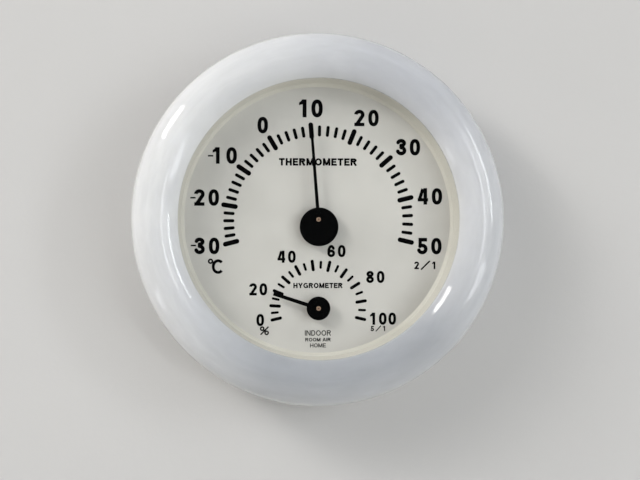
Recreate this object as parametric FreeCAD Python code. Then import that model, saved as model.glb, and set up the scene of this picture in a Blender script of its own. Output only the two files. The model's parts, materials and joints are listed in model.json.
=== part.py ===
import FreeCAD, Part
import math
import os
from types import SimpleNamespace

# Wall-hung dial thermometer and hygrometer, in millimetres.
#
# A round plastic case with a fat half-round rim holds a flat lens, a printed dial and two
# separate movements. In each movement a spiral coil winds a small arbor, which carries a
# flat black pointer on its front end. The large thermometer sits on the axis of the case
# and the small hygrometer below it.
#
# Frame: the wall is the plane Y = 0 and the front of the case faces -Y. X is to the right,
# Z is up, and the origin is where the thermometer's arbor axis meets the wall. Positions
# along the axis are written as heights above the wall, so a height h lies at Y = -h.
# Directions on the dial are clock angles: degrees from 12 o'clock, clockwise from the front.

# ---- Case ring ----------------------------------------------------------------------------
CASE_RADIUS = 51.5            # widest radius of the rim
CASE_DEPTH = 24.0             # wall to the crest of the rim
CROWN_RADIUS = 7.05           # round cross-section of the rim
SIDE_RADIUS = 53.0            # gentle arc from the widest point back to the wall
FOOT_ROUND = 1.0              # rounded edge where the side meets the wall
LIP_RADIUS = 38.6             # front opening
WALL = 2.2                    # thickness of the hollow rim
REAR_OPENING_RADIUS = 46.9
SLEEVE_INNER_RADIUS = 41.0
SLEEVE_OUTER_RADIUS = 42.8
NOTCH_WIDTH = 6.0             # air notches under the lower half of the rim
NOTCH_DEPTH = 1.0
NOTCH_ANGLES = (120.0, 150.0, 180.0, 210.0, 240.0)
KEY_WIDTH = 2.0               # rib at 6 o'clock that stops the dial from turning in the case
KEY_INNER_RADIUS = 39.9
KEY_FRONT = 18.2
KEY_GAP = 0.2

# ---- Stack inside the sleeve, as heights above the wall ----------------------------------
STACK_RADIUS = 40.6
COVER_REAR = 1.6
COVER_FRONT = 3.4
CARRIER_REAR = 11.8
DIAL_REAR = 13.3
DIAL_FRONT = 13.6
LENS_REAR = 18.4
LENS_FRONT = 20.0
LENS_RADIUS = 40.7
LENS_CHAMFER = 0.2
SPACER_FOOT_RADIUS = 37.0     # inner edge of the spacer, where it meets the dial
SPACER_STEP_RADIUS = 37.9     # top of its sloped foot
SPACER_STEP = 1.0
SPACER_FRONT_RADIUS = 38.9
SPACER_FRONT = LENS_REAR - 0.05   # leaves the lens free to expand
CARRIER_RIB_INNER = 36.8      # rear rib that centres the cover's skirt
CARRIER_RIB_OUTER = 38.4
CARRIER_BOSS_REAR = 10.6      # rear faces of that rib and of the screw bosses
CARRIER_BOSS_RADIUS = 2.25

# ---- Rear cover ---------------------------------------------------------------------------
COVER_RADIUS = 46.6
COVER_EDGE_ROUND = 0.4
SKIRT_INNER_RADIUS = 39.0
VENT_WIDTH = 1.6
VENT_PITCH = 3.2
KEYHOLE_HEAD_Z = 27.0
KEYHOLE_HEAD_RADIUS = 4.0
KEYHOLE_SLOT_Z = 33.0
KEYHOLE_SLOT_RADIUS = 2.0
KEYHOLE_RIB_WALL = 1.6
KEYHOLE_RIB_FRONT = 5.0

# ---- Screws -------------------------------------------------------------------------------
FIT_GAP = 0.02                # radial gap of parts that are pressed or screwed together
COVER_SCREW = SimpleNamespace(radius=1.25, hole_radius=1.5, head_radius=2.3, head=1.2, length=9.8)
COVER_SCREW_CIRCLE = 44.3
COVER_SCREW_ANGLES = (60.0, 180.0, 300.0)
COVER_BOSS_RADIUS = 2.6
COVER_BOSS_FRONT = 22.5
COVER_PILOT_DEPTH = 10.0
BRACKET_SCREW = SimpleNamespace(radius=0.9, hole_radius=1.0, head_radius=1.8, head=0.9, length=2.8)
BRACKET_PILOT_DEPTH = 2.3
HEAD_ROUND = 0.35
CROSS_WIDTH = 0.16            # cross recess, as shares of the head's diameter and height
CROSS_LENGTH = 0.62
CROSS_DEPTH = 0.55

# ---- Movements, as heights above the wall -------------------------------------------------
BRACKET_SHEET = 0.8
BRACKET_WIDTH = 8.0
BRIDGE_REAR = 5.2
BUSH_SHANK_RADIUS = 2.0
REAR_BUSH_FLANGE_RADIUS = 3.2
REAR_BUSH_FLANGE = (4.2, 4.65)
FRONT_BUSH_FLANGE_RADIUS = 3.0
FRONT_BUSH = (11.0, 14.1)
ARBOR_RADIUS = 0.60
RUNNING_GAP = 0.04            # radial clearance of an arbor in its bush
PIVOT_RADIUS = 0.45
PIVOT = (4.0, 6.05)
ARBOR_FRONT = 17.0
DIMPLE_RADIUS = 0.22
DIMPLE_DEPTH = 0.25
TIP_CHAMFER = 0.08
COIL_COLLET_RADIUS = 2.0
COIL_COLLET = (6.4, 10.8)
COLLET_SLOT_WIDTH = 0.4
COLLET_SLOT_FLOOR = 1.2       # distance of the slot's floor from the axis
COIL = (6.9, 10.5)
COIL_GAP = 0.05               # between the coil's first turn and its collet
COIL_STEPS = 24               # points per turn of a coil's strip
REGULATOR = (4.68, 5.17)
REGULATOR_BORE_GAP = 0.05
REGULATOR_RING_RADIUS = 4.2
REGULATOR_ARM_WIDTH = 2.6
REGULATOR_POST_WIDTH = 1.8
REGULATOR_POST_DEPTH = 1.2
REGULATOR_POST_FRONT = 10.7
REGULATOR_TAIL = 7.0
REGULATOR_FINGER = 0.8        # end of the tail, bent to the rear for a fingernail or a pin
REGULATOR_FINGER_REAR = 3.9
POINTER_COLLET_TUBE_RADIUS = 1.2
POINTER_COLLET_FLANGE_RADIUS = 1.9
POINTER_COLLET = (14.3, 15.0, 15.9)
POINTER = (15.9, 16.2)


def scale_angle(share, middle, slope, bend, twist):
    """Clock angle of a reading; share runs from -1 at the low end of the scale to 1 at the top."""
    return middle + slope * share + bend * share ** 2 + twist * share ** 3


# The readings that the pointers show at rest, and the two scales' spread of angles.
REST_TEMPERATURE = 10.1       # degrees Celsius, on a scale from -30 to 50
REST_HUMIDITY = 17.9          # per cent, on a scale from 0 to 100

THERMO = SimpleNamespace(
    name="thermo", z=0.0,
    rest_angle=scale_angle((REST_TEMPERATURE - 10.0) / 40.0, -4.67, 105.3, 4.1, -1.5),
    coil_radius=8.4, coil_turns=5, strip=0.25,
    leg_x=11.0, foot_end_x=17.4, screw_x=14.5,
    pointer_length=24.9, root_width=0.98, tip_width=0.74, disc_radius=5.36, disc_offset=2.05,
    vent_radius=10.0, vent_rows=2,
)
HYGRO = SimpleNamespace(
    name="hygro", z=-24.6,
    rest_angle=scale_angle((REST_HUMIDITY - 50.0) / 50.0, -7.61, 106.0, 7.41, -2.4),
    coil_radius=7.3, coil_turns=4, strip=0.35,
    leg_x=10.0, foot_end_x=16.0, screw_x=13.3,
    pointer_length=13.1, root_width=1.10, tip_width=0.95, disc_radius=3.28, disc_offset=0.0,
    vent_radius=11.5, vent_rows=3,
)
MOVEMENTS = (THERMO, HYGRO)


# ---- Helpers ------------------------------------------------------------------------------
def at(x, z, height):
    """Point across, up and out from the wall."""
    return FreeCAD.Vector(x, -height, z)


def on_clock(radius, degrees, z=0.0):
    """Across and up position at a clock angle, about an axis that is z above the case's own."""
    angle = math.radians(degrees)
    return radius * math.sin(angle), z + radius * math.cos(angle)


def on_arc(centre, radius, degrees):
    """Radius and height of a point on an arc; 0 degrees is outwards and 90 is to the front."""
    angle = math.radians(degrees)
    return centre[0] + radius * math.cos(angle), centre[1] + radius * math.sin(angle)


def disc(radius, low, high, x=0.0, z=0.0):
    """Round bar that stands out from the wall between two heights."""
    return Part.makeCylinder(radius, high - low, at(x, z, low), FreeCAD.Vector(0, -1, 0))


def tube(outer, inner, low, high, x=0.0, z=0.0):
    return disc(outer, low, high, x, z).cut(disc(inner, low, high, x, z))


def block(x_range, z_range, low, high):
    corner = at(x_range[0], z_range[0], high)
    return Part.makeBox(x_range[1] - x_range[0], high - low, z_range[1] - z_range[0], corner)


def to_clock(shape, degrees, z=0.0):
    """Turns a shape made at 12 o'clock round to a clock angle."""
    turned = shape.copy()
    turned.rotate(at(0, z, 0), FreeCAD.Vector(0, 1, 0), degrees)
    return turned


def joined(shapes):
    """One solid from touching shapes, without the seams between them."""
    first, *others = shapes
    return first.fuse(others).removeSplitter()


def round_edges(shape, height):
    """Circular edges of a shape that lie at one height above the wall."""
    return [edge for edge in shape.Edges if edge.Curve.TypeId == "Part::GeomCircle"
            and abs(edge.CenterOfMass.y + height) < 0.01]


class Outline:
    """Closed outline in the plane of radius and height, drawn edge by edge and then turned."""

    def __init__(self, radius, height):
        self.first = (radius, height)
        self.here = at(radius, 0, height)
        self.edges = []

    def line(self, radius, height):
        end = at(radius, 0, height)
        self.edges.append(Part.makeLine(self.here, end))
        self.here = end
        return self

    def arc(self, middle, end):
        middle = at(middle[0], 0, middle[1])
        end = at(end[0], 0, end[1])
        self.edges.append(Part.Arc(self.here, middle, end).toShape())
        self.here = end
        return self

    def turned(self):
        self.line(*self.first)
        face = Part.Face(Part.Wire(self.edges))
        return face.revolve(FreeCAD.Vector(0, 0, 0), FreeCAD.Vector(0, 1, 0), 360)


def key_notch():
    """Room for the case's key rib, to be cut from each part that slides into the sleeve."""
    half = KEY_WIDTH / 2 + KEY_GAP
    return block((-half, half), (-CASE_RADIUS, KEY_GAP - KEY_INNER_RADIUS), 0, CASE_DEPTH)


# ---- Case ---------------------------------------------------------------------------------
def lip_round(crown):
    """Radius of the lip's nose, which just touches the opening, the lens seat and the crown."""
    across = crown[0] - LIP_RADIUS
    up = LENS_FRONT - crown[1]
    lean = up + CROWN_RADIUS - across
    return math.sqrt(lean ** 2 + CROWN_RADIUS ** 2 - across ** 2 - up ** 2) - lean


def case_ring():
    """Half-round rim, hollow from behind, with a sleeve, screw bosses, key rib and air notches."""
    crown = (CASE_RADIUS - CROWN_RADIUS, CASE_DEPTH - CROWN_RADIUS)
    side = (CASE_RADIUS - SIDE_RADIUS, crown[1])
    foot_lean = -math.degrees(math.asin((crown[1] - FOOT_ROUND) / SIDE_RADIUS))
    foot_radius = on_arc(side, SIDE_RADIUS, foot_lean)[0]
    foot = (foot_radius - FOOT_ROUND, FOOT_ROUND)

    round_radius = lip_round(crown)
    lip = (LIP_RADIUS + round_radius, LENS_FRONT + round_radius)
    touch = math.degrees(math.atan2(lip[1] - crown[1], lip[0] - crown[0]))

    hollow = CROWN_RADIUS - WALL
    sleeve_touch = math.degrees(math.acos((SLEEVE_OUTER_RADIUS - crown[0]) / hollow))
    inner_side = SIDE_RADIUS - WALL
    inner_lean = -math.degrees(math.acos((REAR_OPENING_RADIUS - side[0]) / inner_side))

    outline = Outline(REAR_OPENING_RADIUS, 0)
    outline.line(foot[0], 0)
    outline.arc(on_arc(foot, FOOT_ROUND, -45), (foot_radius, FOOT_ROUND))
    outline.arc(on_arc(side, SIDE_RADIUS, foot_lean / 2), (CASE_RADIUS, crown[1]))
    outline.arc(on_arc(crown, CROWN_RADIUS, touch / 2), on_arc(crown, CROWN_RADIUS, touch))
    outline.arc(on_arc(lip, round_radius, 180), on_arc(lip, round_radius, 270))
    outline.line(SLEEVE_INNER_RADIUS, LENS_FRONT)
    outline.line(SLEEVE_INNER_RADIUS, COVER_FRONT)
    outline.line(SLEEVE_OUTER_RADIUS, COVER_FRONT)
    outline.line(*on_arc(crown, hollow, sleeve_touch))
    outline.arc(on_arc(crown, hollow, sleeve_touch / 2), (crown[0] + hollow, crown[1]))
    outline.arc(on_arc(side, inner_side, inner_lean / 2), on_arc(side, inner_side, inner_lean))

    places = [on_clock(COVER_SCREW_CIRCLE, angle) for angle in COVER_SCREW_ANGLES]
    bosses = [disc(COVER_BOSS_RADIUS, COVER_FRONT, COVER_BOSS_FRONT, x, z) for x, z in places]
    key = block((-KEY_WIDTH / 2, KEY_WIDTH / 2),
                (-(SLEEVE_INNER_RADIUS + SLEEVE_OUTER_RADIUS) / 2, -KEY_INNER_RADIUS),
                COVER_FRONT, KEY_FRONT)
    ring = joined([outline.turned(), *bosses, key])

    pilot_radius = COVER_SCREW.radius + FIT_GAP
    pilots = [disc(pilot_radius, COVER_FRONT, COVER_FRONT + COVER_PILOT_DEPTH, x, z)
              for x, z in places]
    notch = block((-NOTCH_WIDTH / 2, NOTCH_WIDTH / 2), (SLEEVE_OUTER_RADIUS, CASE_RADIUS),
                  -NOTCH_DEPTH, NOTCH_DEPTH)
    notches = [to_clock(notch, angle) for angle in NOTCH_ANGLES]
    return ring.cut(pilots + notches)


def lens():
    """Clear flat disc that rests against the underside of the rim's lip."""
    plate = disc(LENS_RADIUS, LENS_REAR, LENS_FRONT)
    return plate.makeChamfer(LENS_CHAMFER, round_edges(plate, LENS_REAR)
                             + round_edges(plate, LENS_FRONT))


def spacer_ring():
    """Ring between the dial and the lens, with a sloped foot beside the dial."""
    outline = Outline(SPACER_FOOT_RADIUS, DIAL_FRONT)
    outline.line(STACK_RADIUS, DIAL_FRONT)
    outline.line(STACK_RADIUS, SPACER_FRONT)
    outline.line(SPACER_FRONT_RADIUS, SPACER_FRONT)
    outline.line(SPACER_STEP_RADIUS, DIAL_FRONT + SPACER_STEP)
    return outline.turned().cut(key_notch())


def dial_face():
    """Thin printed plate; the front bushes pass through it."""
    holes = [disc(BUSH_SHANK_RADIUS + FIT_GAP, DIAL_REAR, DIAL_FRONT, z=m.z) for m in MOVEMENTS]
    return disc(STACK_RADIUS, DIAL_REAR, DIAL_FRONT).cut(holes + [key_notch()])


def dial_carrier():
    """Moulded plate behind the dial that carries both movements on screw bosses."""
    places = [(side * m.screw_x, m.z) for m in MOVEMENTS for side in (-1, 1)]
    bosses = [disc(CARRIER_BOSS_RADIUS, CARRIER_BOSS_REAR, CARRIER_REAR, x, z) for x, z in places]
    rib = tube(CARRIER_RIB_OUTER, CARRIER_RIB_INNER, CARRIER_BOSS_REAR, CARRIER_REAR)
    plate = joined([disc(STACK_RADIUS, CARRIER_REAR, DIAL_REAR), rib, *bosses])
    pilots = [disc(BRACKET_SCREW.radius + FIT_GAP, CARRIER_BOSS_REAR,
                   CARRIER_BOSS_REAR + BRACKET_PILOT_DEPTH, x, z) for x, z in places]
    bores = [disc(BUSH_SHANK_RADIUS + FIT_GAP, CARRIER_REAR, DIAL_REAR, z=m.z) for m in MOVEMENTS]
    return plate.cut(pilots + bores + [key_notch()])


def slot(half_length, radius, x, z, low, high):
    """Level slot with round ends."""
    bar = block((x - half_length, x + half_length), (z - radius, z + radius), low, high)
    ends = [disc(radius, low, high, x + side * half_length, z) for side in (-1, 1)]
    return joined([bar, *ends])


def vents(movement):
    """Rows of slots that fill a circle behind one movement."""
    rows = []
    for row in range(-movement.vent_rows, movement.vent_rows + 1):
        rise = row * VENT_PITCH
        half_length = math.sqrt(movement.vent_radius ** 2 - rise ** 2)
        rows.append(slot(half_length, VENT_WIDTH / 2, 0, movement.z + rise,
                         COVER_REAR, COVER_FRONT))
    return rows


def keyhole(grow, low, high):
    """Round hole for a wall screw's head with a narrow slot above it, grown by a margin."""
    head = disc(KEYHOLE_HEAD_RADIUS + grow, low, high, z=KEYHOLE_HEAD_Z)
    half = KEYHOLE_SLOT_RADIUS + grow
    neck = block((-half, half), (KEYHOLE_HEAD_Z, KEYHOLE_SLOT_Z), low, high)
    top = disc(half, low, high, z=KEYHOLE_SLOT_Z)
    return joined([head, neck, top])


def rear_cover():
    """Round back with a skirt that clamps the stack, vents, a keyhole and three screw holes."""
    plate = disc(COVER_RADIUS, COVER_REAR, COVER_FRONT)
    plate = plate.makeFillet(COVER_EDGE_ROUND, round_edges(plate, COVER_REAR))
    skirt = tube(STACK_RADIUS, SKIRT_INNER_RADIUS, COVER_FRONT, CARRIER_REAR)
    hook_rib = keyhole(KEYHOLE_RIB_WALL, COVER_FRONT, KEYHOLE_RIB_FRONT)
    body = joined([plate, skirt.cut(key_notch()), hook_rib])
    places = [on_clock(COVER_SCREW_CIRCLE, angle) for angle in COVER_SCREW_ANGLES]
    holes = [disc(COVER_SCREW.hole_radius, COVER_REAR, COVER_FRONT, x, z) for x, z in places]
    grilles = [row for movement in MOVEMENTS for row in vents(movement)]
    return body.cut(holes + grilles + [keyhole(0, COVER_REAR, KEYHOLE_RIB_FRONT)])


# ---- Screws -------------------------------------------------------------------------------
def screw(kind, seat, x, z):
    """Pan-head screw that points to the front, with its head behind the seat."""
    head = disc(kind.head_radius, seat - kind.head, seat, x, z)
    head = head.makeFillet(HEAD_ROUND, round_edges(head, seat - kind.head))
    half_length = kind.head_radius * CROSS_LENGTH
    half_width = kind.head_radius * CROSS_WIDTH
    floor = seat - kind.head * (1 - CROSS_DEPTH)
    level = block((x - half_length, x + half_length), (z - half_width, z + half_width),
                  seat - kind.head, floor)
    upright = block((x - half_width, x + half_width), (z - half_length, z + half_length),
                    seat - kind.head, floor)
    shank = disc(kind.radius, seat, seat + kind.length, x, z)
    return joined([head, shank]).cut([level, upright])


def cover_screws():
    places = [on_clock(COVER_SCREW_CIRCLE, angle) for angle in COVER_SCREW_ANGLES]
    return Part.makeCompound([screw(COVER_SCREW, COVER_REAR, x, z) for x, z in places])


def bracket_screws(movement):
    seat = CARRIER_BOSS_REAR - BRACKET_SHEET
    return Part.makeCompound([screw(BRACKET_SCREW, seat, side * movement.screw_x, movement.z)
                              for side in (-1, 1)])


# ---- Movements ----------------------------------------------------------------------------
def bracket(movement):
    """Bent strip: two feet on the carrier, two legs and a bridge behind the coil."""
    foot = CARRIER_BOSS_REAR - BRACKET_SHEET
    bottom = movement.z - BRACKET_WIDTH / 2
    corners = [(-movement.foot_end_x, foot), (-movement.leg_x, foot),
               (-movement.leg_x, BRIDGE_REAR), (movement.leg_x, BRIDGE_REAR),
               (movement.leg_x, foot), (movement.foot_end_x, foot)]
    path = Part.makePolygon([at(x, bottom, height) for x, height in corners])
    sheet = path.makeOffset2D(BRACKET_SHEET, join=0, fill=True, openResult=True)
    strip = sheet.extrude(FreeCAD.Vector(0, 0, BRACKET_WIDTH))
    screw_holes = [disc(BRACKET_SCREW.hole_radius, foot, CARRIER_BOSS_REAR,
                        side * movement.screw_x, movement.z) for side in (-1, 1)]
    bush_hole = disc(BUSH_SHANK_RADIUS + FIT_GAP, BRIDGE_REAR, foot, z=movement.z)
    return strip.cut(screw_holes + [bush_hole])


def rear_bush(movement):
    """Flanged bush in the bridge, the rear bearing of the arbor."""
    flange = disc(REAR_BUSH_FLANGE_RADIUS, *REAR_BUSH_FLANGE, z=movement.z)
    shank = disc(BUSH_SHANK_RADIUS, REAR_BUSH_FLANGE[1], BRIDGE_REAR + BRACKET_SHEET, z=movement.z)
    bore = disc(PIVOT_RADIUS + RUNNING_GAP, 0, CASE_DEPTH, z=movement.z)
    return joined([flange, shank]).cut(bore)


def front_bush(movement):
    """Flanged bush through the carrier and the dial, the front bearing of the arbor."""
    flange = disc(FRONT_BUSH_FLANGE_RADIUS, FRONT_BUSH[0], CARRIER_REAR, z=movement.z)
    shank = disc(BUSH_SHANK_RADIUS, CARRIER_REAR, FRONT_BUSH[1], z=movement.z)
    bore = disc(ARBOR_RADIUS + RUNNING_GAP, 0, CASE_DEPTH, z=movement.z)
    return joined([flange, shank]).cut(bore)


def regulator(movement):
    """Friction ring behind the bridge whose post holds the coil's outer end; turning it sets zero."""
    low, high = REGULATOR
    ring = disc(REGULATOR_RING_RADIUS, low, high, z=movement.z)
    half_arm = REGULATOR_ARM_WIDTH / 2
    half_post = REGULATOR_POST_WIDTH / 2
    post_top = movement.z - movement.coil_radius - movement.strip / 2
    post_bottom = post_top - REGULATOR_POST_DEPTH
    arm = block((-half_arm, half_arm), (post_bottom, movement.z), low, high)
    post = block((-half_post, half_post), (post_bottom, post_top), low, REGULATOR_POST_FRONT)
    tail_top = movement.z + REGULATOR_TAIL
    tail = block((-half_post, half_post), (movement.z, tail_top), low, high)
    finger = block((-half_post, half_post), (tail_top - REGULATOR_FINGER, tail_top),
                   REGULATOR_FINGER_REAR, high)
    bore = disc(BUSH_SHANK_RADIUS + REGULATOR_BORE_GAP, low, high, z=movement.z)
    return joined([ring, arm, post, tail, finger]).cut(bore)


def coil_edge(movement, side):
    """One long edge of the coil's strip; side is -1 for its inner face and 1 for its outer."""
    inner = COIL_COLLET_RADIUS + COIL_GAP + movement.strip / 2
    steps = movement.coil_turns * COIL_STEPS
    points = []
    for step in range(steps + 1):
        share = step / steps
        radius = inner + (movement.coil_radius - inner) * share + side * movement.strip / 2
        x, z = on_clock(radius, 180 - 360 * movement.coil_turns * (1 - share), movement.z)
        points.append(at(x, z, COIL[0]))
    curve = Part.BSplineCurve()
    curve.interpolate(points)
    return curve.toShape()


def coil(movement):
    """Flat spiral strip from the arbor's collet out to the regulator's post."""
    inner = coil_edge(movement, -1)
    outer = coil_edge(movement, 1)
    ends = [Part.makeLine(inner.Vertexes[i].Point, outer.Vertexes[i].Point) for i in (0, -1)]
    face = Part.Face(Part.Wire(Part.__sortEdges__([inner, outer, *ends])))
    return face.extrude(FreeCAD.Vector(0, COIL[0] - COIL[1], 0))


def coil_collet(movement):
    """Sleeve pressed on the arbor, slit along its side for the coil's inner end."""
    inner = ARBOR_RADIUS + FIT_GAP
    sleeve = tube(COIL_COLLET_RADIUS, inner, *COIL_COLLET, z=movement.z)
    half = COLLET_SLOT_WIDTH / 2
    slit = block((-half, half),
                 (movement.z - COIL_COLLET_RADIUS, movement.z - COLLET_SLOT_FLOOR), *COIL_COLLET)
    return to_clock(sleeve.cut(slit), movement.rest_angle, movement.z)


def arbor(movement):
    """Turned shaft with a thin rear pivot and a cupped, chamfered front tip."""
    radius = ARBOR_RADIUS
    pivot = disc(PIVOT_RADIUS, *PIVOT, z=movement.z)
    stem = disc(radius, PIVOT[1], ARBOR_FRONT - TIP_CHAMFER, z=movement.z)
    outward = FreeCAD.Vector(0, -1, 0)
    tip = Part.makeCone(radius, radius - TIP_CHAMFER, TIP_CHAMFER,
                        at(0, movement.z, ARBOR_FRONT - TIP_CHAMFER), outward)
    dimple = Part.makeCone(0, DIMPLE_RADIUS, DIMPLE_DEPTH,
                           at(0, movement.z, ARBOR_FRONT - DIMPLE_DEPTH), outward)
    return joined([pivot, stem, tip]).cut(dimple)


def pointer_collet(movement):
    """Brass sleeve behind the pointer that grips the arbor."""
    low, middle, high = POINTER_COLLET
    neck = disc(POINTER_COLLET_TUBE_RADIUS, low, middle, z=movement.z)
    flange = disc(POINTER_COLLET_FLANGE_RADIUS, middle, high, z=movement.z)
    bore = disc(ARBOR_RADIUS + FIT_GAP, low, high, z=movement.z)
    return joined([neck, flange]).cut(bore)


def pointer(movement):
    """Flat stamped pointer: a narrow tapered blade and a round disc, cut from one sheet."""
    low, high = POINTER
    root = movement.root_width / 2
    tip = movement.tip_width / 2
    end = movement.z + movement.pointer_length
    corners = [(-root, movement.z), (-tip, end), (tip, end), (root, movement.z),
               (-root, movement.z)]
    outline = Part.makePolygon([at(x, z, low) for x, z in corners])
    blade = Part.Face(outline).extrude(FreeCAD.Vector(0, low - high, 0))
    weight = disc(movement.disc_radius, low, high, z=movement.z - movement.disc_offset)
    hole = disc(ARBOR_RADIUS + FIT_GAP, low, high, z=movement.z)
    return to_clock(joined([blade, weight]).cut(hole), movement.rest_angle, movement.z)


# ---- Export -------------------------------------------------------------------------------
CASE_PARTS = (case_ring, lens, spacer_ring, dial_face, dial_carrier, rear_cover, cover_screws)
MOVEMENT_PARTS = (bracket, bracket_screws, rear_bush, front_bush, regulator, coil, coil_collet,
                  arbor, pointer_collet, pointer)

os.makedirs("parts", exist_ok=True)
for make in CASE_PARTS:
    make().exportStep(f"parts/{make.__name__}.step")
for movement in MOVEMENTS:
    for make in MOVEMENT_PARTS:
        make(movement).exportStep(f"parts/{movement.name}_{make.__name__}.step")
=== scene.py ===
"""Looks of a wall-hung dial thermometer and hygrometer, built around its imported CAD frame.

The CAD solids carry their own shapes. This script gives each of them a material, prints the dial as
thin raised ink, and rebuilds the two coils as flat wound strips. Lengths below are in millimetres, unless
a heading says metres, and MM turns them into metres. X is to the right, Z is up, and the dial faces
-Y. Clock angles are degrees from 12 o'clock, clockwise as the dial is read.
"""
import json
import math

import bmesh
import bpy
import numpy as np
from mathutils import Matrix, Vector
from mathutils.geometry import delaunay_2d_cdt


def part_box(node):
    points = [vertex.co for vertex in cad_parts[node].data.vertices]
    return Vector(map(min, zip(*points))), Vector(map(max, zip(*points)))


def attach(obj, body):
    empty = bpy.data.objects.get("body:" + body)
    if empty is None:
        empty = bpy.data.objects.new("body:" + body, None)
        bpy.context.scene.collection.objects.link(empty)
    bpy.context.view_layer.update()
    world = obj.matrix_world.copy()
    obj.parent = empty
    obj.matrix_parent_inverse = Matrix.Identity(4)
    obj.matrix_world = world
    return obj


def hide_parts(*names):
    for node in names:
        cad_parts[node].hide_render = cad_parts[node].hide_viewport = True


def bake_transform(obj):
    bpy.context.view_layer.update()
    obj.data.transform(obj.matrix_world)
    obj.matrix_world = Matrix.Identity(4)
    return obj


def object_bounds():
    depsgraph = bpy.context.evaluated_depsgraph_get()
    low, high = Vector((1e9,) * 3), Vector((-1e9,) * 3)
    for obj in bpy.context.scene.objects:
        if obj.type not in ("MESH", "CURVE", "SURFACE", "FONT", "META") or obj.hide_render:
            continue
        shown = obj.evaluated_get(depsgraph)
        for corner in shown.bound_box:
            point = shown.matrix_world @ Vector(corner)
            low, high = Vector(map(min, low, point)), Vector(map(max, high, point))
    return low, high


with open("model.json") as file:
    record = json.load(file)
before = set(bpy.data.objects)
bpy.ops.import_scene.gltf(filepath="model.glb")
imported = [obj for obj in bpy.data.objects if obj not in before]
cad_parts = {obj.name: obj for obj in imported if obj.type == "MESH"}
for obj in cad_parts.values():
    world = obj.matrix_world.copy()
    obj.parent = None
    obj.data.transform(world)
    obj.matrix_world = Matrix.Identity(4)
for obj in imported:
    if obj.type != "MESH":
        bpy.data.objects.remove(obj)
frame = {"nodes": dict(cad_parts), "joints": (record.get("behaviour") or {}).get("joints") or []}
cad_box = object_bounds()

MM = 0.001
MOVEMENTS = ("thermo", "hygro")

# ---- Dial layout ----------------------------------------------------------------------------
INK_DEPTH = 0.03
DIGIT_WIDTH = 0.635           # digits and capitals are drawn one unit high
DIGIT_STROKE = 0.222
CAP_GAP = 0.13                # between capitals
SLASH_WEIGHT = 0.17           # a slash's stroke as a share of its height
ARC_STEPS = 20                # points in a quarter turn of a letter's curve
ROUND_END = (0, 342)          # a stroke's round end, short of a full turn so that no point is doubled
MITRE_LIMIT = 0.5             # a bend's mitre grows to at most 1 / this of the stroke's width
SAME_POINT = 1e-6             # a path whose ends are closer than this is closed
JOIN_WITHIN = 1e-5            # ink corners closer than this become one
INSIDE_OUTLINES = 1           # delaunay_2d_cdt's code for only the triangles inside the outlines
FLAT_WITHIN = 0.01            # radians between neighbouring ink triangles that are merged

# Each scale: its lowest and highest reading, the readings between marks and between long marks, the
# four factors of mark_angle's curve, how far its print sits off its pointer's axis, and its two sizes
# of mark as (inner radius, outer radius, width).
THERMO_SCALE = dict(low=-30, high=50, step=2, long_every=10, law=(-4.67, 105.3, 4.1, -1.5),
                    offset=(0.17, -0.20), long_mark=(22.75, 27.4, 1.32), short_mark=(23.4, 26.5, 0.90))
HYGRO_SCALE = dict(low=0, high=100, step=5, long_every=10, law=(-7.61, 106.0, 7.41, -2.4),
                   offset=(0.13, -0.12), long_mark=(10.45, 13.7, 0.88), short_mark=(11.05, 13.3, 0.69))

# Numerals: the text, the centre of each digit across, the height of their centres above the
# thermometer's axis, and the digits' height.
THERMO_NUMBERS = (
    ("10", (-4.07, -0.25), 31.02, 5.0), ("20", (11.57, 15.54), 28.43, 4.6),
    ("30", (23.28, 27.17), 20.33, 4.6), ("40", (29.39, 33.36), 6.59, 4.6),
    ("50", (29.29, 33.18), -7.33, 4.6), ("0", (-15.38,), 26.28, 4.6),
    ("10", (-28.14, -24.00), 17.78, 4.6), ("20", (-32.91, -28.94), 6.10, 4.6),
    ("30", (-32.86, -28.82), -7.31, 4.6),
)
MINUS_SIGNS = ((-29.84, 17.68), (-34.68, 6.03), (-34.53, -7.21))
MINUS_SIZE = (1.46, 0.42)
HYGRO_NUMBERS = (
    ("0", (-16.04,), -27.87, 3.38), ("20", (-18.04, -15.19), -19.35, 3.38),
    ("40", (-10.19, -7.27), -10.30, 3.38), ("60", (3.70, 6.62), -8.73, 3.38),
    ("80", (14.55, 17.50), -15.94, 3.38), ("100", (15.36, 18.10, 20.75), -27.57, 3.40),
)
# The small notes of what the finest marks stand for: digits as (digit, x, z, height), and slashes
# as (x, z, width, height).
RATIO_NOTES = (
    ("2", 27.62, -12.71, 2.12), ("1", 32.49, -12.71, 2.12),
    ("5", 15.19, -30.32, 1.47), ("1", 18.50, -30.32, 1.47),
)
RATIO_SLASHES = ((30.09, -12.68, 2.50, 2.45), (16.86, -30.30, 1.45, 1.6))
# Units: each curve is its centre's x and z and its half width and half height.
DEGREE_RING = (-29.80, -11.57, 0.52, 0.52)
DEGREE_STROKE = 0.46
CELSIUS_LETTER = (-27.70, -13.04, 1.36, 1.62)
CELSIUS_STROKE = 0.80
CELSIUS_OPENING = (44, 316)   # the letter's ends, counter-clockwise from +X
PER_CENT_RINGS = ((-15.50, -30.27, 0.44, 0.46), (-14.27, -31.42, 0.44, 0.46))
PER_CENT_RING_STROKE = 0.40
PER_CENT_SLASH = ((-15.95, -31.95), (-13.75, -29.72))
PER_CENT_SLASH_STROKE = 0.38
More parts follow.
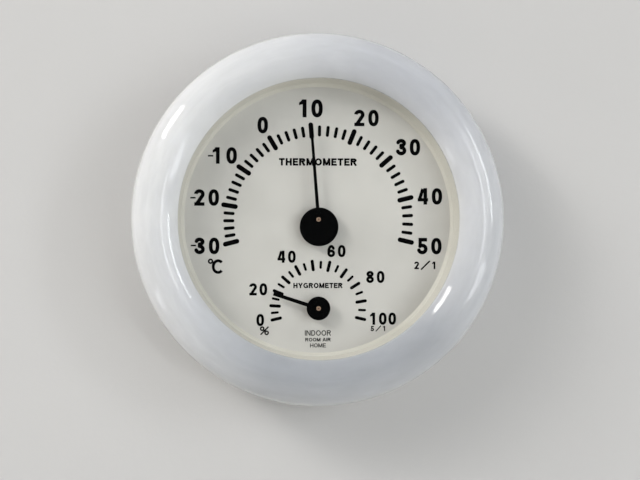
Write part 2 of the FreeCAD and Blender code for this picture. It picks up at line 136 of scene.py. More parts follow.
# Words: the piece's name, the text, its centre above the axis, its letters' height, its width, and
# its strokes' width as a share of the height.
WORDS = (
    ("thermo_title", "THERMOMETER", 16.09, 2.05, 21.7, 0.25),
    ("hygro_title", "HYGROMETER", -18.31, 1.44, 13.7, 0.24),
    ("small_print_1", "INDOOR", -31.5, 1.50, 7.3, 0.16),
    ("small_print_2", "ROOM AIR", -33.35, 0.98, 7.1, 0.21),
    ("small_print_3", "HOME", -34.95, 1.12, 4.4, 0.17),
)

# ---- Coil settings --------------------------------------------------------------------------
# Each coil: its movement, its turns, the thickness of its strip and its material slot.
COILS = (("thermo", 5, 0.25, "bimetal_strip"), ("hygro", 4, 0.35, "humidity_strip"))
COIL_GAP = 0.05               # between the coil's first turn and its collet
COIL_END_CLOCK = 180          # clock angle of the coil's outer end, at its regulator's post
COIL_STEPS = 96               # mesh steps per turn
COIL_EDGE_SHARE = 0.35        # share of the strip's half thickness rounded off at its edges

# ---- Finish settings ------------------------------------------------------------------------
NOISE_SPAN = (0.3, 0.7)       # the stretch from 0 to 1 that a noise pattern mostly fills
PROFILE_LEAN = 0.7            # how far a round pattern shifts sideways per step away from the wall
TURNED_PITCH = 0.85           # between the turned lines of the spacer ring

# ---- Stage, light and camera settings, in metres --------------------------------------------
STAGE_REACH = 8.0
FLOOR_DROP = 0.55             # the floor's depth below the object
BACKDROP_SHADE = 0.96         # a backdrop's darker patches, as a share of its colour
WALL_SHOWN_BELOW = -0.30      # the wall shows when the camera's way from the object points this far out
ROOM_LIGHT = (0.30, 0.28)     # from straight below and from straight above
ROOM_TINT = (0.95, 0.97, 1.0, 1.0)
WARM = (1.0, 0.98, 0.95)
COOL = (0.95, 0.98, 1.0)
# Each lamp: its name, clock angle, degrees off the dial's axis, distance, size around the clock,
# size outwards, watts, colour, and whether glossy surfaces mirror it.
LAMPS = (
    ("key_softbox", 308, 58, 1.6, 0.90, 0.90, 9.5, WARM, False),
    ("top_softbox", 5, 68, 1.6, 0.90, 0.90, 2.5, WARM, False),
    ("side_lamp", 307, 64, 1.3, 0.26, 0.46, 5.6, WARM, True),
    ("fill_softbox", 105, 74, 1.2, 1.40, 1.40, 3.0, COOL, False),
    ("low_left_softbox", 225, 80, 1.2, 0.90, 0.90, 7.0, COOL, True),
    ("right_softbox", 76, 36, 2.2, 0.73, 1.30, 4.5, COOL, True),
    ("right_strip_1", 83, 20, 2.2, 0.51, 0.30, 1.5, COOL, True),
    ("right_strip_2", 74, 54, 2.2, 0.96, 0.30, 7.2, COOL, True),
    ("low_right_softbox", 107, 42, 2.2, 0.31, 1.15, 5.0, COOL, True),
    ("rear_softbox", 40, 150, 1.6, 0.90, 0.90, 9.0, WARM, True),
)
CAMERA_LENS = 81.5
CAMERA_AZIMUTH = -3.5
CAMERA_ELEVATION = -1.7
CAMERA_DISTANCE = 0.40
CROWN_HEIGHT = 16.95          # millimetres from the wall to the ring's crown, which the camera circles
CAMERA_AIM_OFFSET = (0.36, 0.0, -5.7)   # millimetres from the crown's centre to where it points


# ---- Places from the frame ------------------------------------------------------------------
def joint_place(name):
    """A point on a joint's axis."""
    return Vector(next(joint["pos_m"] for joint in frame["joints"] if joint["name"] == name))


def axis_height(movement):
    """Height of a movement's axis above the origin, in millimetres."""
    return joint_place(movement + "_needle_swing").z / MM


# ---- Flat drawing ---------------------------------------------------------------------------
def curve(cx, cz, rx, rz, start, end, power=1.0):
    """Points of an arc from one angle to another, counter-clockwise from +X when end > start.

    A power under 1 squares the curve's shoulders, as on a wide-set numeral."""
    steps = max(4, int(ARC_STEPS * abs(end - start) / 90))
    points = []
    for step in range(steps + 1):
        angle = math.radians(start + (end - start) * step / steps)
        across = math.copysign(abs(math.cos(angle)) ** power, math.cos(angle))
        up = math.copysign(abs(math.sin(angle)) ** power, math.sin(angle))
        points.append((cx + rx * across, cz + rz * up))
    return points


def stroke(path, width, round_ends=False):
    """Quads along a path, mitred at its corners, with round ends if asked for."""
    points = [Vector(point) for point in path]
    closed = (points[0] - points[-1]).length < SAME_POINT
    sides = []
    for index, point in enumerate(points):
        before = points[index - 1] if index else (points[-2] if closed else None)
        after = points[index + 1] if index + 1 < len(points) else (points[1] if closed else None)
        ways = [(point - before).normalized()] if before is not None else []
        ways += [(after - point).normalized()] if after is not None else []
        way = sum(ways, Vector((0, 0))).normalized()
        stretch = 1 / max(MITRE_LIMIT, way.dot(ways[0]))
        aside = Vector((-way.y, way.x)) * (width / 2 * stretch)
        sides.append((point + aside, point - aside))
    quads = [(a, b, d, c) for (a, b), (c, d) in zip(sides, sides[1:])]
    if round_ends:
        for point in (points[0], points[-1]):
            quads.append(curve(point.x, point.y, width / 2, width / 2, *ROUND_END))
    return [[tuple(corner) for corner in quad] for quad in quads]


def bar(x0, z0, x1, z1):
    """One upright rectangle between two corners."""
    return [[(x0, z0), (x1, z0), (x1, z1), (x0, z1)]]


def digit(name):
    """Polygons of one bold numeral, one unit high and DIGIT_WIDTH wide, from its lower left."""
    w = DIGIT_WIDTH
    s = DIGIT_STROKE
    mid = w / 2
    rx = (w - s) / 2
    if name == "0":
        return stroke(curve(mid, 0.5, rx, (1 - s) / 2, 0, 360, 0.86), s)
    if name == "1":
        foot = w * 0.78 - s
        flag = [(foot + 0.02, 1.0), (foot - 0.03, 1.0), (foot - 0.09, 0.90), (w * 0.12, 0.82),
                (w * 0.12, 0.67), (foot + 0.02, 0.74)]
        return [flag] + bar(foot, 0, foot + s, 1)
    if name == "2":
        top = curve(mid, 0.70, rx, 0.30 - s / 2, 176, -28)
        return stroke(top + [(s * 0.72, s * 0.5)], s) + bar(0.01, 0, w - 0.01, s * 0.95)
    if name == "3":
        upper = curve(mid, 0.745, rx * 0.92, 0.255 - s / 2, 165, -90)
        lower = curve(mid, 0.295, rx, 0.295 - s / 2, 90, -165)
        waist = bar(mid - 0.10, 0.47, mid + 0.05, 0.47 + s * 0.85)
        return stroke(upper, s, True) + stroke(lower, s, True) + waist
    if name == "4":
        slant = [(w * 0.62 - s * 0.35, 1.0 - s * 0.2), (s * 0.46, 0.27)]
        return (stroke(slant, s * 0.92) + bar(w * 0.56, 0, w * 0.56 + s, 1)
                + bar(0.0, 0.19, w, 0.19 + s * 0.92))
    if name == "5":
        bowl = curve(mid - 0.02, 0.325, rx + 0.01, 0.325 - s / 2, 128, -160)
        return (bar(0.07, 1 - s, w - 0.04, 1) + bar(0.07, 0.44, 0.07 + s * 0.9, 1)
                + stroke(bowl, s, True))
    if name == "6":
        bowl = curve(mid, 0.31, rx, 0.31 - s / 2, 0, 360)
        back = curve(mid + 0.01, 0.44, rx + 0.01, 0.56 - s / 2, 192, 38)
        return stroke(bowl, s) + stroke(back, s, True)
    # What is left is the 8.
    upper = curve(mid, 0.745, rx * 0.90, 0.255 - s / 2, 0, 360)
    lower = curve(mid, 0.285, rx, 0.285 - s / 2, 0, 360)
    return stroke(upper, s) + stroke(lower, s)


def capital(name, s):
    """Width and polygons of a sans-serif capital with stroke s, one unit high, from its lower left."""
    if name == " ":
        return 0.30, []
    if name == "I":
        return s, bar(0, 0, s, 1)
    if name == "T":
        return 0.72, bar(0, 1 - s, 0.72, 1) + bar(0.36 - s / 2, 0, 0.36 + s / 2, 1)
    if name == "H":
        return 0.78, (bar(0, 0, s, 1) + bar(0.78 - s, 0, 0.78, 1)
                      + bar(0, 0.5 - s / 2, 0.78, 0.5 + s / 2))
    if name == "E":
        return 0.68, (bar(0, 0, s, 1) + bar(0, 1 - s, 0.68, 1)
                      + bar(0, 0.5 - s * 0.4, 0.62, 0.5 + s * 0.5) + bar(0, 0, 0.70, s))
    if name == "N":
        return 0.80, (bar(0, 0, s, 1) + bar(0.80 - s, 0, 0.80, 1)
                      + stroke([(s / 2, 1), (0.80 - s / 2, 0)], s * 0.9))
    if name == "M":
        return 0.95, (bar(0, 0, s, 1) + bar(0.95 - s, 0, 0.95, 1)
                      + stroke([(s * 0.55, 1), (0.475, 0.06)], s * 0.95)
                      + stroke([(0.95 - s * 0.55, 1), (0.475, 0.06)], s * 0.95))
    if name == "A":
        return 0.84, (stroke([(0.09, 0), (0.40, 1)], s * 0.9) + stroke([(0.75, 0), (0.44, 1)], s * 0.9)
                      + bar(0.2, 0.24, 0.64, 0.24 + s * 0.8))
    if name == "Y":
        return 0.82, (stroke([(0.09, 1), (0.41, 0.42)], s) + stroke([(0.73, 1), (0.41, 0.42)], s)
                      + bar(0.41 - s / 2, 0, 0.41 + s / 2, 0.46))
    if name == "D":
        bowl = [(0, 1 - s / 2)] + curve(0.36, 0.5, 0.33, 0.5 - s / 2, 90, -90) + [(0, s / 2)]
        return 0.78, bar(0, 0, s, 1) + stroke(bowl, s)
    if name == "R":
        bowl = [(0, 1 - s / 2)] + curve(0.44, 0.73, 0.22, 0.27 - s / 2, 90, -90) + [(0, 0.46 + s / 2)]
        return 0.80, bar(0, 0, s, 1) + stroke(bowl, s) + stroke([(0.42, 0.48), (0.71, 0)], s * 1.02)
    rx = (0.90 - s) / 2
    rz = (1 - s) / 2
    if name == "O":
        return 0.90, stroke(curve(0.45, 0.5, rx, rz, 0, 360), s)
    # What is left is the G.
    return 0.88, (stroke(curve(0.45, 0.5, rx, rz, 42, 348), s)
                  + bar(0.50, 0.36, 0.88, 0.36 + s * 0.85) + bar(0.88 - s * 0.8, 0.04, 0.88, 0.5))


def placed(polygons, x, z, size):
    """Scales polygons by size and moves their lower left to x, z."""
    return [[(x + size * px, z + size * pz) for px, pz in polygon] for polygon in polygons]


def centred_digit(name, x, z, size):
    return placed(digit(name), x - size * DIGIT_WIDTH / 2, z - size / 2, size)


def numerals(numbers):
    polygons = []
    for text, centres, height, size in numbers:
        for name, centre in zip(text, centres):
            polygons += centred_digit(name, centre, height, size)
    return polygons


def minus_signs():
    half_width = MINUS_SIZE[0] / 2
    half_height = MINUS_SIZE[1] / 2
    polygons = []
    for x, z in MINUS_SIGNS:
        polygons += bar(x - half_width, z - half_height, x + half_width, z + half_height)
    return polygons


def ratio_notes():
    polygons = []
    for name, x, z, size in RATIO_NOTES:
        polygons += centred_digit(name, x, z, size)
    for x, z, width, height in RATIO_SLASHES:
        ends = [(x - width / 2, z - height / 2), (x + width / 2, z + height / 2)]
        polygons += stroke(ends, SLASH_WEIGHT * height)
    return polygons


def line_of_capitals(text, centre_z, size, width, weight):
    """One centred line of capitals, widened or narrowed to fill its width."""
    letters = [capital(name, weight) for name in text]
    gaps = CAP_GAP * (len(text) - 1)
    stretch = (width / size - gaps) / sum(letter[0] for letter in letters)
    x = -width / 2
    polygons = []
    for letter_width, shapes in letters:
        shapes = [[(px * stretch, pz) for px, pz in shape] for shape in shapes]
        polygons += placed(shapes, x, centre_z - size / 2, size)
        x += (letter_width * stretch + CAP_GAP) * size
    return polygons


def mark_angle(scale, reading):
    """Clock angle of a reading, as a curve over its share: -1 at the low end and 1 at the high end.

    The marks aren't quite evenly spread."""
    middle, slope, bend, twist = scale["law"]
    half = (scale["high"] - scale["low"]) / 2
    share = (reading - scale["low"]) / half - 1
    return middle + slope * share + bend * share ** 2 + twist * share ** 3


def scale_marks(scale, axis_z):
    """A scale's marks, round-ended and pointing at its centre."""
    centre_x = scale["offset"][0]
    centre_z = axis_z + scale["offset"][1]
    polygons = []
    for reading in range(scale["low"], scale["high"] + 1, scale["step"]):
        is_long = reading % scale["long_every"] == 0
        inner, outer, width = scale["long_mark" if is_long else "short_mark"]
        angle = math.radians(mark_angle(scale, reading))
        way = (math.sin(angle), math.cos(angle))
        ends = [(centre_x + way[0] * r, centre_z + way[1] * r)
                for r in (inner + width / 2, outer - width / 2)]
        polygons += stroke(ends, width, True)
    return polygons


def degree_celsius():
    ring = stroke(curve(*DEGREE_RING, 0, 360), DEGREE_STROKE)
    return ring + stroke(curve(*CELSIUS_LETTER, *CELSIUS_OPENING), CELSIUS_STROKE)


def per_cent():
    polygons = []
    for ring in PER_CENT_RINGS:
        polygons += stroke(curve(*ring, 0, 360), PER_CENT_RING_STROKE)
    return polygons + stroke(PER_CENT_SLASH, PER_CENT_SLASH_STROKE)


def ink(name, polygons):
    """Prints the union of flat polygons on the dial as one thin closed piece."""
    corners = []
    outlines = []
    for polygon in polygons:
        outlines.append(list(range(len(corners), len(corners) + len(polygon))))
        corners += [Vector(corner) for corner in polygon]
    points, _, triangles, _, _, owners = delaunay_2d_cdt(
        corners, [], outlines, INSIDE_OUTLINES, JOIN_WITHIN)
    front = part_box("dial_face")[0].y - INK_DEPTH * MM

    mesh = bmesh.new()
    verts = [mesh.verts.new((p.x * MM, front, p.y * MM)) for p in points]
    for triangle, owner in zip(triangles, owners):
        if owner:
            mesh.faces.new([verts[i] for i in triangle])
    bmesh.ops.delete(mesh, geom=[v for v in mesh.verts if not v.link_faces], context="VERTS")
    bmesh.ops.dissolve_limit(mesh, angle_limit=FLAT_WITHIN, verts=mesh.verts, edges=mesh.edges)
    rim = [edge.verts[:] for edge in mesh.edges if edge.is_boundary]
    shown = [face.verts[:] for face in mesh.faces]
    behind = {vert: mesh.verts.new(vert.co + Vector((0, INK_DEPTH * MM, 0))) for vert in mesh.verts[:]}
    for outline in shown:
        mesh.faces.new([behind[vert] for vert in outline])
    for one, two in rim:
        mesh.faces.new((one, two, behind[two], behind[one]))
    bmesh.ops.recalc_face_normals(mesh, faces=mesh.faces)
    return piece(name, mesh, "case")


def piece(name, mesh, body):
    """Turns a bmesh into an object, which rides on a body when one is given."""
    data = bpy.data.meshes.new(name)
    mesh.to_mesh(data)
    mesh.free()
    made = bpy.data.objects.new(name, data)
    bpy.context.scene.collection.objects.link(made)
    if body is not None:
        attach(made, body)
    return made


def print_dial():
    """Every printed group on the dial."""
    printed = [
        ink("thermo_marks", scale_marks(THERMO_SCALE, axis_height("thermo"))),
        ink("hygro_marks", scale_marks(HYGRO_SCALE, axis_height("hygro"))),
        ink("thermo_numbers", numerals(THERMO_NUMBERS) + minus_signs()),
        ink("hygro_numbers", numerals(HYGRO_NUMBERS)),
        ink("thermo_unit", degree_celsius()),
        ink("hygro_unit", per_cent()),
        ink("scale_notes", ratio_notes()),
    ]
    for name, *line in WORDS:
        printed.append(ink(name, line_of_capitals(*line)))
    return printed


# ---- Coils ----------------------------------------------------------------------------------
def strip_section(half, low, high):
    """Corners across a strip as (outwards, y), with its edges cut back a little."""
    soft = half * COIL_EDGE_SHARE
    return [(-half, low + soft), (-half, high - soft), (soft - half, high), (half - soft, high),
            (half, high - soft), (half, low + soft), (half - soft, low), (soft - half, low)]


def wound_coil(movement, turns, strip, finish):
    """Flat spiral strip wound between its regulator's post and the needle's collet."""
    node = movement + "_coil"
    axis = joint_place(movement + "_needle_swing")
    low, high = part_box(node)
    half = strip * MM / 2
    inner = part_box(movement + "_coil_collet")[1].x + COIL_GAP * MM + half
    outer = axis.z - low.z - half
    section = strip_section(half, low.y, high.y)
    steps = turns * COIL_STEPS
    mesh = bmesh.new()
    rings = []
    for step in range(steps + 1):
        share = step / steps
        radius = inner + (outer - inner) * share
        angle = math.radians(COIL_END_CLOCK - 360 * turns * (1 - share))
        way = Vector((math.sin(angle), 0, math.cos(angle)))
        rings.append([mesh.verts.new(Vector((0, y, axis.z)) + way * (radius + side))
                      for side, y in section])
    for one, two in zip(rings, rings[1:]):
        for i in range(len(section)):
            j = (i + 1) % len(section)
            mesh.faces.new((one[i], one[j], two[j], two[i])).smooth = True
    mesh.faces.new(rings[0])
    mesh.faces.new(reversed(rings[-1]))
    bmesh.ops.recalc_face_normals(mesh, faces=mesh.faces)
    made = piece(movement + "_wound_coil", mesh, None)
    made.data.materials.append(finish)
    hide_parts(node)
    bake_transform(made)


# ---- Materials ------------------------------------------------------------------------------
class Look:
    """A node material and short calls for wiring it. Its lengths are millimetres."""

    def __init__(self, name):
        self.material = bpy.data.materials.new(name)
        self.material.use_nodes = True
        self.tree = self.material.node_tree
        self.shader = self.tree.nodes["Principled BSDF"]
        metres = self.add("ShaderNodeTexCoord").outputs["Object"]
        self.place = self.vector("SCALE", metres, scale=1 / MM)

    def add(self, kind, **settings):
        node = self.tree.nodes.new(kind)
        for key, value in settings.items():
            setattr(node, key, value)
        return node

    def feed(self, socket, value):
        """Links a socket to another's output, or sets it to a plain value."""
        if isinstance(value, bpy.types.NodeSocket):
            self.tree.links.new(value, socket)
        else:
            socket.default_value = value

    def add_fed(self, kind, **values):
        """Adds a node and feeds its sockets by name; an underscore in a name stands for a space."""
        node = self.add(kind)
        for name, value in values.items():
            self.feed(node.inputs[name.replace("_", " ")], value)
        return node

    def set(self, **values):
        """Sets the main shader's sockets by name, as add_fed does."""
        for name, value in values.items():
            self.feed(self.shader.inputs[name.replace("_", " ")], value)

    def math(self, operation, *values):
        node = self.add("ShaderNodeMath", operation=operation)
        for socket, value in zip(node.inputs, values):
            self.feed(socket, value)
        return node.outputs[0]

    def vector(self, operation, *values, scale=None):
        node = self.add("ShaderNodeVectorMath", operation=operation)
        for socket, value in zip(node.inputs, values):
            self.feed(socket, value)
        if scale is not None:
            self.feed(node.inputs["Scale"], scale)
        return node.outputs["Value" if operation in ("DOT_PRODUCT", "LENGTH") else "Vector"]

    def parts(self, vector):
        return self.add_fed("ShaderNodeSeparateXYZ", Vector=vector).outputs

    def together(self, x, y, z):
        return self.add_fed("ShaderNodeCombineXYZ", X=x, Y=y, Z=z).outputs[0]

    def noise(self, place, size, detail=2.0, roughness=0.5, distortion=0.0):
        """Cloudy pattern around 0.5 with lumps about this many millimetres across."""
        return self.add_fed("ShaderNodeTexNoise", Vector=place, Scale=1 / size, Detail=detail,
                            Roughness=roughness, Distortion=distortion).outputs["Fac"]

    def remap(self, value, before, after):
        """Maps one span of values onto another, and holds the result at its ends."""
        node = self.add("ShaderNodeMapRange")
        for socket, number in zip(node.inputs, (value, *before, *after)):
            self.feed(socket, number)
        return node.outputs["Result"]

    def spread(self, noise, low, high):
        """Stretches the span that a noise pattern mostly fills onto low to high."""
        return self.remap(noise, NOISE_SPAN, (low, high))

    def mix(self, factor, first, second):
        node = self.add("ShaderNodeMix", data_type="RGBA")
        sockets = [s for s in node.inputs if s.type == "RGBA"]
        self.feed(node.inputs["Factor"], factor)
        self.feed(sockets[0], first)
        self.feed(sockets[1], second)
        return next(s for s in node.outputs if s.type == "RGBA")

    def bump(self, height, depth, under=None):
        node = self.add_fed("ShaderNodeBump", Height=height, Distance=depth * MM)
        if under is not None:
            self.feed(node.inputs["Normal"], under)
        return node.outputs["Normal"]

    def flat_from(self, axis_z):
        """The vector from a movement's axis to the place, with its depth left out."""
        x, _, z = self.parts(self.place)
        return self.together(x, 0.0, self.math("SUBTRACT", z, axis_z))

    def around(self, wrap):
        """Pattern space wrapped about the case's axis, and the radius from that axis.

        A small wrap radius draws the pattern out along the circumference."""
        flat = self.flat_from(0.0)
        radius = self.vector("LENGTH", flat)
        turned = self.vector("SCALE", self.vector("NORMALIZE", flat), scale=wrap)
        depth = self.parts(self.place)[1]
        profile = self.math("ADD", radius, self.math("MULTIPLY", depth, PROFILE_LEAN))
        return self.vector("ADD", turned, self.together(0.0, profile, 0.0)), radius

    def mixed(self, factor, first, second):
        """Sends the material's output a blend of two shaders."""
        node = self.add("ShaderNodeMixShader")
        for socket, value in zip(node.inputs, (factor, first, second)):
            self.feed(socket, value)
        self.feed(self.tree.nodes["Material Output"].inputs["Surface"], node.outputs[0])


def rgb(red, green, blue):
    """Display values from 0 to 255 as a shader colour."""
    return tuple(((v / 255 + 0.055) / 1.055) ** 2.4 for v in (red, green, blue)) + (1.0,)


def ring_plastic():
    """Glossy milky plastic with a pearl swirl drawn out around the ring. Its colour holds painted light:
    paler to its upper left, on its right side and on its lower outer slope, with painted shade towards the
    bottom and a painted glow at the outer rim.
    """
    look = Look("ring_plastic_look")
    wrapped, radius = look.around(wrap=11.0)
    cloud = look.noise(wrapped, 5.0, detail=3.0, roughness=0.55, distortion=0.9)
    streak = look.noise(wrapped, 1.7, roughness=0.6, distortion=0.5)
    swirl = look.math("ADD", look.math("MULTIPLY", cloud, 0.7), look.math("MULTIPLY", streak, 0.3))

    x, _, z = look.parts(look.vector("NORMALIZE", look.flat_from(0.0)))
    up_left = look.math("SUBTRACT", look.math("MULTIPLY", z, 0.35), x)
    outer_slope = look.remap(radius, (44.0, 51.5), (0.0, 1.0))
    lower_half = look.remap(z, (-0.9, 0.0), (0.30, 0.0))
    # Painted light: paler towards the upper left, on the right side and on the lower outer slope, where
    # the lamps fall.
    painted_light_shares = (look.remap(up_left, (0.0, 1.2), (0.0, 0.85)),
             look.remap(x, (0.7, 1.0), (0.0, 0.40)),
             look.math("MULTIPLY", outer_slope, lower_half))
    # Painted shade: the body colour darkens towards the bottom of the ring.
    body = look.mix(look.remap(z, (-1.0, 0.5), (0.0, 1.0)), rgb(170, 173, 178), rgb(196, 198, 203))
    for share in painted_light_shares:
        body = look.mix(share, body, rgb(240, 241, 243))
    body = look.vector("SCALE", body, scale=look.remap(swirl, (0.36, 0.66), (0.955, 1.045)))
    # Painted rim glow: the outermost edge is paler, in place of light through and off the rim.
    painted_rim_glow = look.remap(radius, (50.2, 51.6), (0.0, 0.45))
    body = look.mix(painted_rim_glow, body, rgb(204, 205, 198))

    peel = look.noise(look.place, 2.2)
    wear = look.noise(look.place, 0.35, detail=3.0, roughness=0.6)
    look.set(Base_Color=body, Roughness=look.remap(wear, (0.35, 0.7), (0.05, 0.10)), IOR=1.49,
             Subsurface_Weight=1.0, Subsurface_Radius=(1.0, 1.0, 1.05), Subsurface_Scale=5.0 * MM,
             Normal=look.bump(peel, 0.002))
    return look.material


def lens_acrylic():
    """Clear flat window: it lets light straight through and mirrors more at a grazing look."""
    look = Look("lens_acrylic_look")
    grime = look.noise(look.place, 14.0, detail=4.0, roughness=0.6, distortion=0.6)
    normal = look.bump(look.noise(look.place, 30.0, detail=1.0), 0.05)
    incoming = look.add("ShaderNodeNewGeometry").outputs["Incoming"]
    facing = look.math("ABSOLUTE", look.vector("DOT_PRODUCT", normal, incoming))
    grazing = look.math("POWER", look.math("SUBTRACT", 1.0, facing), 5.0)
    mirror = look.remap(grazing, (0.0, 1.0), (0.001, 0.8))
    clear = look.add_fed("ShaderNodeBsdfTransparent", Color=(0.985, 0.99, 0.985, 1.0))
    shine = look.add_fed("ShaderNodeBsdfGlossy", Roughness=look.spread(grime, 0.02, 0.09), Normal=normal)
    look.mixed(mirror, clear.outputs[0], shine.outputs[0])
    return look.material


def spacer_plastic():
    """Cream sleeve with fine turned lines."""
    look = Look("spacer_plastic_look")
    wrapped, _ = look.around(wrap=9.0)
    fine = look.noise(wrapped, 0.30, roughness=0.6)
    broad = look.noise(look.place, 9.0)
    turned = look.math("SINE", look.math("MULTIPLY", look.parts(look.place)[1], math.tau / TURNED_PITCH))
    look.set(Base_Color=look.mix(broad, rgb(212, 208, 199), rgb(220, 217, 209)),
             Roughness=look.spread(fine, 0.28, 0.42),
             Normal=look.bump(turned, 0.03, under=look.bump(fine, 0.02)))
    return look.material


def dial_print():
    """Pearly cream lacquer: tiny bright flakes over a gently clouded ground."""
    look = Look("dial_print_look")
    cloud = look.noise(look.place, 16.0, detail=3.0)
    flake = look.noise(look.place, 0.16, detail=1.0)
    ground = look.mix(look.remap(cloud, (0.35, 0.65), (0.0, 1.0)), rgb(204, 201, 197), rgb(213, 210, 206))
    sparkle = look.remap(flake, (0.58, 0.75), (0.0, 0.35))
    look.set(Base_Color=look.mix(sparkle, ground, rgb(238, 236, 231)),
             Roughness=look.spread(flake, 0.5, 0.34), Sheen_Weight=0.12, Specular_IOR_Level=0.35,
             Normal=look.bump(flake, 0.004))
    return look.material


def moulded(name, dark, light, grain, depth):
    """Plain moulded plastic: a faint clouding, and the fine texture of its mould."""
    look = Look(name)
    cloud = look.noise(look.place, 18.0, detail=3.0)
    texture = look.noise(look.place, grain, roughness=0.6)
    look.set(Base_Color=look.mix(look.spread(cloud, 0.0, 1.0), dark, light),
             Roughness=look.spread(texture, 0.42, 0.6), Specular_IOR_Level=0.4,
             Normal=look.bump(texture, depth))
    return look.material


def carrier_plastic():
    return moulded("carrier_plastic_look", rgb(212, 208, 198), rgb(224, 221, 213), grain=0.5, depth=0.015)


def cover_plastic():
    return moulded("cover_plastic_look", rgb(208, 207, 201), rgb(221, 220, 215), grain=0.28, depth=0.05)


def metal(name, dark, light, grain, depth, rough, stretch=(1.0, 1.0, 1.0)):
    """Worked metal whose tool marks run along the axes with the largest stretch."""
    look = Look(name)
    drawn = look.vector("DIVIDE", look.place, stretch)
    marks = look.noise(drawn, grain, detail=3.0, roughness=0.65)
    tarnish = look.noise(look.place, 2.6, detail=3.0, roughness=0.55)
    look.set(Base_Color=look.mix(look.remap(tarnish, (0.35, 0.68), (0.0, 1.0)), dark, light), Metallic=1.0,
             Roughness=look.spread(marks, rough - 0.07, rough + 0.09), Normal=look.bump(marks, depth))
    return look.material


def screw_steel():
    return metal("screw_steel_look", rgb(166, 166, 169), rgb(205, 205, 207),
                 grain=0.12, depth=0.004, rough=0.24)


def bracket_steel():
    return metal("bracket_steel_look", rgb(158, 160, 163), rgb(192, 194, 197),
                 grain=0.10, depth=0.006, rough=0.36, stretch=(14.0, 1.0, 1.0))


def bush_brass():
    return metal("bush_brass_look", rgb(176, 139, 74), rgb(212, 176, 104),
                 grain=0.12, depth=0.004, rough=0.26, stretch=(6.0, 1.0, 6.0))


def regulator_brass():
    return metal("regulator_brass_look", rgb(172, 136, 76), rgb(208, 174, 106),
                 grain=0.16, depth=0.005, rough=0.34, stretch=(1.0, 1.0, 9.0))


def collet_brass():
    return metal("collet_brass_look", rgb(178, 142, 80), rgb(214, 180, 112),
                 grain=0.10, depth=0.003, rough=0.24, stretch=(6.0, 1.0, 6.0))


def arbor_brass():
    """Pinkish turned brass, darker over the dimples in the shafts' tips."""
    look = Look("arbor_brass_look")
    from_axis = [look.vector("LENGTH", look.flat_from(axis_height(movement))) for movement in MOVEMENTS]
    # Darker within a small radius of each shaft's axis, over the dimple in its tip.
    dimple_darkening = look.remap(look.math("MINIMUM", *from_axis), (0.14, 0.30), (0.85, 0.0))
    marks = look.noise(look.place, 0.10, roughness=0.6)
    brass = look.mix(marks, rgb(186, 156, 134), rgb(206, 176, 154))
    look.set(Base_Color=look.mix(dimple_darkening, brass, rgb(64, 50, 42)), Metallic=0.85,
             Roughness=look.spread(marks, 0.32, 0.46), Normal=look.bump(marks, 0.002))
    return look.material


def two_sided_strip(movement, outside, inside):
    """Rolled strip whose outer face is one colour and its inner face another."""
    look = Look(movement + "_strip_look")
    outward = look.vector("NORMALIZE", look.flat_from(axis_height(movement)))
    normal = look.add("ShaderNodeTexCoord").outputs["Normal"]
    side = look.remap(look.vector("DOT_PRODUCT", outward, normal), (-0.3, 0.3), (0.0, 1.0))
    rolled = look.noise(look.vector("MULTIPLY", look.place, (0.12, 1.0, 0.12)), 0.2, detail=3.0,
                        roughness=0.6)
    stain = look.noise(look.place, 1.8, detail=3.0)
    tone = look.mix(side, inside, outside)
    look.set(Base_Color=look.mix(look.remap(stain, (0.4, 0.75), (0.0, 0.5)), tone, rgb(120, 112, 100)),
             Metallic=0.9, Roughness=look.spread(rolled, 0.3, 0.48), Normal=look.bump(rolled, 0.004))
    return look.material


def bimetal_strip():
    return two_sided_strip("thermo", rgb(170, 168, 165), rgb(190, 168, 120))


def humidity_strip():
    return two_sided_strip("hygro", rgb(188, 150, 96), rgb(176, 172, 164))


def pointer_black():
    """Matt black lacquer with a fine orange peel and a little dust."""
    look = Look("pointer_black_look")
    peel = look.noise(look.place, 0.12, roughness=0.6)
    dust = look.remap(look.noise(look.place, 0.22, detail=1.0), (0.70, 0.78), (0.0, 0.10))
    look.set(Base_Color=look.mix(dust, rgb(2, 2, 3), rgb(60, 59, 57)),
             Roughness=look.spread(peel, 0.42, 0.62), Specular_IOR_Level=0.03,
             Normal=look.bump(peel, 0.003))
    return look.material


LOOKS = dict(
    ring_plastic=ring_plastic, lens_acrylic=lens_acrylic, spacer_plastic=spacer_plastic,
    dial_print=dial_print, carrier_plastic=carrier_plastic, cover_plastic=cover_plastic,
    screw_steel=screw_steel, bracket_steel=bracket_steel, bush_brass=bush_brass,
    regulator_brass=regulator_brass, bimetal_strip=bimetal_strip, humidity_strip=humidity_strip,
    collet_brass=collet_brass, arbor_brass=arbor_brass, pointer_black=pointer_black,
)


def dress_cad_nodes():
    """Gives every CAD node the finished look of the material slot it was packed with."""
    finished = {}
    for node in frame["nodes"].values():
        slot = node.data.materials[0].name
        if slot not in finished:
            finished[slot] = LOOKS[slot]()
        node.material_slots[0].material = finished[slot]
    return finished


# ---- Stage, lights and camera ---------------------------------------------------------------
def seen_from_the_front(look):
    """1 when the camera stands well in front of the wall plane, and 0 beside or behind it."""
    transform = look.add("ShaderNodeVectorTransform", vector_type="POINT", convert_from="CAMERA",
                         convert_to="WORLD")
    look.feed(transform.inputs[0], (0.0, 0.0, 0.0))
    camera = transform.outputs[0]
    share = look.math("DIVIDE", look.parts(camera)[1], look.vector("LENGTH", camera))
    return look.math("LESS_THAN", share, WALL_SHOWN_BELOW)


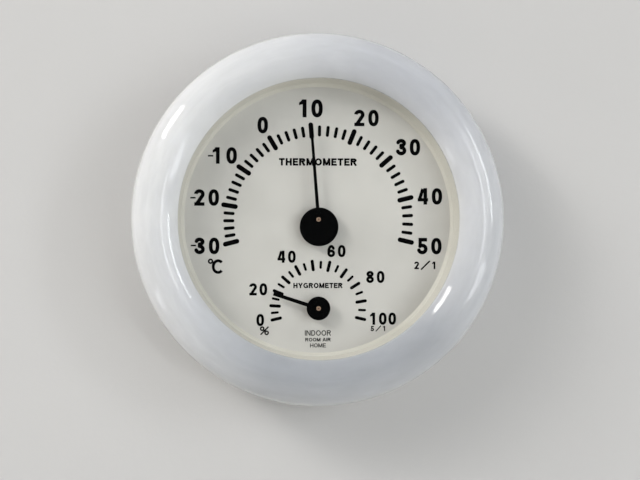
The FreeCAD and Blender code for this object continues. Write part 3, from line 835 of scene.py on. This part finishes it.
def backdrop(name, corners, colour, only_from_front):
    """A pale plane with a barely visible grain. With only_from_front it hides from other cameras."""
    mesh = bpy.data.meshes.new(name)
    mesh.from_pydata(corners, [], [range(len(corners))])
    plane = bpy.data.objects.new(name, mesh)
    bpy.context.scene.collection.objects.link(plane)
    look = Look(name + "_look")
    grain = look.noise(look.place, 3.0, detail=3.0, roughness=0.6)
    cloud = look.noise(look.place, 120.0)
    shaded = tuple(channel * BACKDROP_SHADE for channel in colour[:3]) + (1.0,)
    look.set(Base_Color=look.mix(cloud, shaded, colour), Roughness=0.85, Specular_IOR_Level=0.2,
             Normal=look.bump(grain, 0.05))
    if only_from_front:
        clear = look.add("ShaderNodeBsdfTransparent").outputs[0]
        look.mixed(seen_from_the_front(look), clear, look.shader.outputs[0])
    mesh.materials.append(look.material)


def build_stage():
    """Pale wall behind the object and a pale floor below it."""
    reach = STAGE_REACH
    floor_z = cad_box[0].z - FLOOR_DROP
    wall = [(-reach, 0, floor_z), (reach, 0, floor_z), (reach, 0, reach), (-reach, 0, reach)]
    floor = [(-reach, -reach, floor_z), (reach, -reach, floor_z), (reach, reach, floor_z),
             (-reach, reach, floor_z)]
    backdrop("stage_wall", wall, rgb(206, 205, 204), only_from_front=True)
    backdrop("stage_floor", floor, rgb(222, 220, 215), only_from_front=False)


def lamp(name, clock, off_axis, distance, around, outward, power, colour, mirrored):
    """Area lamp facing the object from a clock direction, some degrees off the dial's axis."""
    data = bpy.data.lights.new(name, "AREA")
    data.shape = "RECTANGLE"
    data.size = around
    data.size_y = outward
    data.energy = power
    data.color = colour
    made = bpy.data.objects.new(name, data)
    bpy.context.scene.collection.objects.link(made)
    turn = math.radians(clock)
    tilt = math.radians(off_axis)
    way = Vector((math.sin(turn) * math.sin(tilt), -math.cos(tilt), math.cos(turn) * math.sin(tilt)))
    side = Vector((math.cos(turn), 0, -math.sin(turn)))
    axes = Matrix((side, way.cross(side), way)).transposed()
    made.matrix_world = Matrix.Translation(way * distance) @ axes.to_4x4()
    made.visible_glossy = mirrored


def light_the_room():
    """Even room light that changes a little from below to above, and the lamps."""
    world = bpy.data.worlds.new("room")
    world.use_nodes = True
    tree = world.node_tree
    sky = tree.nodes["Background"]
    sky.inputs["Color"].default_value = ROOM_TINT
    way = tree.nodes.new("ShaderNodeSeparateXYZ")
    fade = tree.nodes.new("ShaderNodeMapRange")
    for socket, value in zip(fade.inputs[1:], (-1.0, 1.0, *ROOM_LIGHT)):
        socket.default_value = value
    tree.links.new(tree.nodes.new("ShaderNodeTexCoord").outputs["Generated"], way.inputs[0])
    tree.links.new(way.outputs["Z"], fade.inputs["Value"])
    tree.links.new(fade.outputs["Result"], sky.inputs["Strength"])
    bpy.context.scene.world = world
    for lamp_settings in LAMPS:
        lamp(*lamp_settings)


def place_camera():
    """Stands the camera a little left of and below the object's axis, as it was seen."""
    data = bpy.data.cameras.new("camera")
    data.lens = CAMERA_LENS
    camera = bpy.data.objects.new("camera", data)
    bpy.context.scene.collection.objects.link(camera)
    azimuth = math.radians(CAMERA_AZIMUTH)
    elevation = math.radians(CAMERA_ELEVATION)
    crown = Vector((0, -CROWN_HEIGHT * MM, 0))
    back = Vector((math.sin(azimuth) * math.cos(elevation), -math.cos(azimuth) * math.cos(elevation),
                   math.sin(elevation)))
    camera.location = crown + back * CAMERA_DISTANCE
    aim = crown + Vector(CAMERA_AIM_OFFSET) * MM - camera.location
    camera.rotation_euler = aim.to_track_quat("-Z", "Y").to_euler()
    bpy.context.scene.camera = camera
    bpy.context.scene.view_settings.view_transform = "Standard"


finished = dress_cad_nodes()
for printed in print_dial():
    printed.data.materials.append(finished["pointer_black"])
for movement, turns, strip, slot in COILS:
    wound_coil(movement, turns, strip, finished[slot])
build_stage()
light_the_room()
place_camera()
